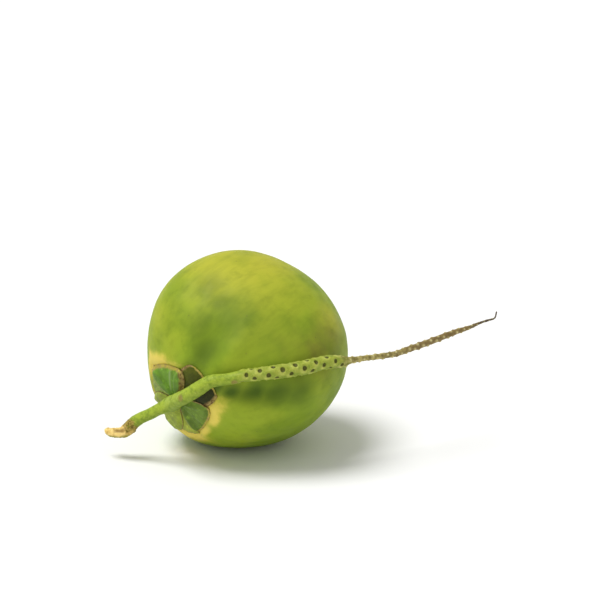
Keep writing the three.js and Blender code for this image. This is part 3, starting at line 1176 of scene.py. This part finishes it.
def spikelet_material(look, marks):
    material, tree, shader = new_material("spikelet_skin")
    place = add_node(tree, "ShaderNodeTexCoord").outputs["Object"]
    loose = noise_node(tree, place, 140, 4, 0.6)
    shift = math_node(tree, "MULTIPLY_ADD", loose, 26 * MM, -13 * MM)
    run = math_node(tree, "ADD", attribute_node(tree, "run"), shift)
    clouds = noise_node(tree, place, 230, 4, 0.6)
    fine = noise_node(tree, place, 620, 4, 0.6)
    skin, drying = stalk_skin(tree, look, marks, run, clouds, fine)
    skin = heel_skin(tree, look, marks["collar"], run, clouds, fine, skin)

    speckle = rise_node(tree, fine, 0.3, 0.6, 0.55, 0.95)
    rim = math_node(tree, "MULTIPLY", attribute_node(tree, "rim"), speckle)
    skin = mix_colour(tree, rim, skin, mix_colour(tree, drying, RIM_GREEN, RIM_TAN))
    # The pits and the knobs' hollows take a dark olive that is partly their own scar colour and
    # partly painted shade in the hollows.
    pit = rise_node(tree, attribute_node(tree, "pit"), 0.2, 0.8, 0, 0.95)
    skin = mix_colour(tree, pit, skin, PIT_DARK)
    scar = math_node(tree, "MULTIPLY", attribute_node(tree, "scar"), 0.7)
    skin = mix_colour(tree, scar, skin, SCAR_BROWN)
    tree.links.new(skin, shader.inputs["Base Color"])
    rough = rise_node(tree, clouds, 0.3, 0.7, 0.5, 0.7)
    tree.links.new(rough, shader.inputs["Roughness"])
    shader.inputs["Specular IOR Level"].default_value = 0.3
    bump = bump_node(tree, fine, 0.35, 0.3 * MM)
    tree.links.new(bump, shader.inputs["Normal"])
    return material


def make_spikelet(husk, look):
    rows, run = smooth_line(np.array(SPIKELET_ROUTE) * MM, SPIKELET_STEP)
    centres, radius = rows[:, :3], rows[:, 3]
    marks = {
        "collar": run[nearest(centres, COLLAR_PLACE)],
        "join": run[nearest(centres, JOIN_PLACE)],
        "pits_start": run[nearest(centres, PITS_START_PLACE)],
        "pits_end": run[nearest(centres, PITS_END_PLACE)],
        "tip": run[-1],
    }
    angles = np.linspace(0, 2 * np.pi, SPIKELET_SIDES, endpoint=False)
    tube = Tube(run, angles, radius)
    sides, ups = turning_frames(centres)
    cosine, sine = np.cos(angles)[None, :, None], np.sin(angles)[None, :, None]
    out = cosine * sides[:, None] + sine * ups[:, None]
    places = centres[:, None] + out * radius[:, None, None]
    height, pits, rims = spikelet_relief(look, tube, marks)

    # The stalk has soft ridges that slowly wind round it.
    wind = angles[None, :] * 3 + run[:, None] * 14
    height += 0.045 * radius[:, None] * np.sin(wind)
    height += 0.16 * MM * wander(places, 4 * MM, 11)
    # A knotty collar ends the stalk above the torn heel.
    knot = bell(run - marks["collar"] + 3 * MM, 5 * MM)[:, None]
    height += knot * (0.9 * MM * wander(places, 3 * MM, 12))
    tear, under = heel_tear(out, places, run, marks["collar"])
    height -= 0.8 * MM * tear
    height += join_swell(husk, out, run, centres, marks["join"])
    scar = add_stalk_scars(tube, centres, sides, ups, height)
    points = centres[:, None] + out * (radius[:, None] + height)[..., None]
    shape_heel(points, centres, out, run, marks["collar"])

    attributes = {
        "run": np.repeat(run, SPIKELET_SIDES),
        "pit": pits.ravel(),
        "rim": rims.ravel(),
        "tear": tear.ravel(),
        "under": under.ravel(),
        # How strongly painted shade darkens the stalk's underside.
        "painted_under_shade": 0.65 * smooth_rise(-out[..., 2], -0.1, 0.9).ravel(),
        "scar": scar.ravel(),
    }
    bm = tube_bmesh(points)
    material = spikelet_material(look, marks)
    return finish_piece(
        bm, "coconut_spikelet", attributes, ["spikelet"], material
    )


# ---------------------------------------------------------------------------
# The stage
# ---------------------------------------------------------------------------


def direction(turn, rise):
    """The direction that turns from -Y towards +X and rises from the ground."""
    level = math.cos(rise)
    return Vector((math.sin(turn) * level, -math.cos(turn) * level, math.sin(rise)))


def camera_axes(stage):
    """The camera's right, up and back directions."""
    turn, rise = stage.camera_azimuth, stage.camera_elevation
    right = Vector((math.cos(turn), math.sin(turn), 0))
    back = direction(turn, rise)
    return right, back.cross(right), back


def make_camera(stage):
    data = bpy.data.cameras.new("camera")
    data.lens = data.sensor_width * stage.camera_distance / stage.view_width
    camera = bpy.data.objects.new("camera", data)
    right, up, back = camera_axes(stage)
    target = CENTRE + right * VIEW_RIGHT + up * VIEW_UP
    camera.location = CENTRE + back * stage.camera_distance
    camera.rotation_euler = (camera.location - target).to_track_quat("Z", "Y").to_euler()
    bpy.context.scene.collection.objects.link(camera)
    bpy.context.scene.camera = camera


def make_lamp(name, turn, rise, softness, strength):
    """A sun whose turn, rise and softness are in degrees."""
    data = bpy.data.lights.new(name, "SUN")
    data.angle = math.radians(softness)
    data.energy = strength
    lamp = bpy.data.objects.new(name, data)
    away = direction(math.radians(turn), math.radians(rise))
    lamp.rotation_euler = away.to_track_quat("Z", "Y").to_euler()
    bpy.context.scene.collection.objects.link(lamp)


def make_floor(stage):
    bm = bmesh.new()
    bmesh.ops.create_circle(bm, cap_ends=True, segments=96, radius=FLOOR_RADIUS)
    mesh = bpy.data.meshes.new("floor")
    bm.to_mesh(mesh)
    bm.free()
    material, _tree, shader = new_material("floor_paint")
    shader.inputs["Base Color"].default_value = stage.floor_colour
    shader.inputs["Roughness"].default_value = 0.9
    shader.inputs["Specular IOR Level"].default_value = 0.1
    mesh.materials.append(material)
    floor = bpy.data.objects.new("floor", mesh)
    bpy.context.scene.collection.objects.link(floor)


def make_sky():
    """A soft even sky, brighter near the horizon so that the floor has no visible end."""
    world = bpy.data.worlds.new("studio")
    world.use_nodes = True
    tree = world.node_tree
    sky = tree.nodes["Background"]
    sky.inputs["Color"].default_value = (1.0, 0.99, 0.97, 1)
    outlook = add_node(tree, "ShaderNodeTexCoord").outputs["Generated"]
    rise = add_node(tree, "ShaderNodeSeparateXYZ", {0: outlook}).outputs["Z"]
    tree.links.new(rise_node(tree, rise, 0.06, 0.14, 1.05, 0.50), sky.inputs["Strength"])
    bpy.context.scene.world = world


# ---------------------------------------------------------------------------
# Operators and panel
# ---------------------------------------------------------------------------


class COCONUT_OT_husk(bpy.types.Operator):
    """Make the lobed husk, lying on its flat spot"""

    bl_idname = "coconut.husk"
    bl_label = "Make Husk"

    def execute(self, context):
        made = make_husk(context.scene.coconut_husk)
        width = made.dimensions.x
        if abs(width - HUSK_WIDTH) > 3 * MM:
            raise RuntimeError(f"the husk is {width:.4f} m wide, and its frame {HUSK_WIDTH:.4f} m")
        return {"FINISHED"}


class COCONUT_OT_calyx(bpy.types.Operator):
    """Make the three inner and the three outer tepals"""

    bl_idname = "coconut.calyx"
    bl_label = "Make Calyx"

    def execute(self, context):
        husk, calyx = context.scene.coconut_husk, context.scene.coconut_calyx
        for i, tepal in enumerate(INNER_TEPALS):
            make_tepal(husk, calyx, f"inner_tepal_{i + 1}", tepal, outer=False, seed=3 + i)
        for i, tepal in enumerate(OUTER_TEPALS):
            make_tepal(husk, calyx, f"outer_tepal_{i + 1}", tepal, outer=True, seed=6 + i)
        return {"FINISHED"}


class COCONUT_OT_spikelet(bpy.types.Operator):
    """Make the spikelet from its torn heel to its dry tip"""

    bl_idname = "coconut.spikelet"
    bl_label = "Make Spikelet"

    def execute(self, context):
        make_spikelet(context.scene.coconut_husk, context.scene.coconut_spikelet)
        return {"FINISHED"}


class COCONUT_OT_stage(bpy.types.Operator):
    """Make the camera, the floor, the sky and the lamp"""

    bl_idname = "coconut.stage"
    bl_label = "Make Stage"

    def execute(self, context):
        stage = context.scene.coconut_stage
        make_camera(stage)
        make_floor(stage)
        make_sky()
        make_lamp("key_lamp", turn=-40, rise=69, softness=30, strength=2.25)
        context.scene.view_settings.view_transform = "Standard"
        return {"FINISHED"}


STEPS = (COCONUT_OT_husk, COCONUT_OT_calyx, COCONUT_OT_spikelet, COCONUT_OT_stage)
GROUPS = {
    "coconut_husk": CoconutHusk,
    "coconut_calyx": CoconutCalyx,
    "coconut_spikelet": CoconutSpikelet,
    "coconut_stage": CoconutStage,
}


class COCONUT_PT_pieces(bpy.types.Panel):
    """Lists the coconut's pieces and their sizes and colours"""

    bl_idname = "COCONUT_PT_pieces"
    bl_label = "Green Coconut"
    bl_space_type = "VIEW_3D"
    bl_region_type = "UI"
    bl_category = "Coconut"

    def draw(self, context):
        for step, group in zip(STEPS, GROUPS):
            box = self.layout.box()
            settings = getattr(context.scene, group)
            for key in settings.bl_rna.properties.keys():
                if key not in {"rna_type", "name"}:
                    box.prop(settings, key)
            box.operator(step.bl_idname)


CLASSES = (*GROUPS.values(), *STEPS, COCONUT_PT_pieces)


def register():
    for item in CLASSES:
        bpy.utils.register_class(item)
    for key, group in GROUPS.items():
        setattr(bpy.types.Scene, key, PointerProperty(type=group))


def unregister():
    for key in GROUPS:
        delattr(bpy.types.Scene, key)
    for item in reversed(CLASSES):
        bpy.utils.unregister_class(item)


def main():
    register()
    bpy.ops.coconut.husk()
    bpy.ops.coconut.calyx()
    bpy.ops.coconut.spikelet()
    bpy.ops.coconut.stage()


if __name__ == "__main__":
    main()
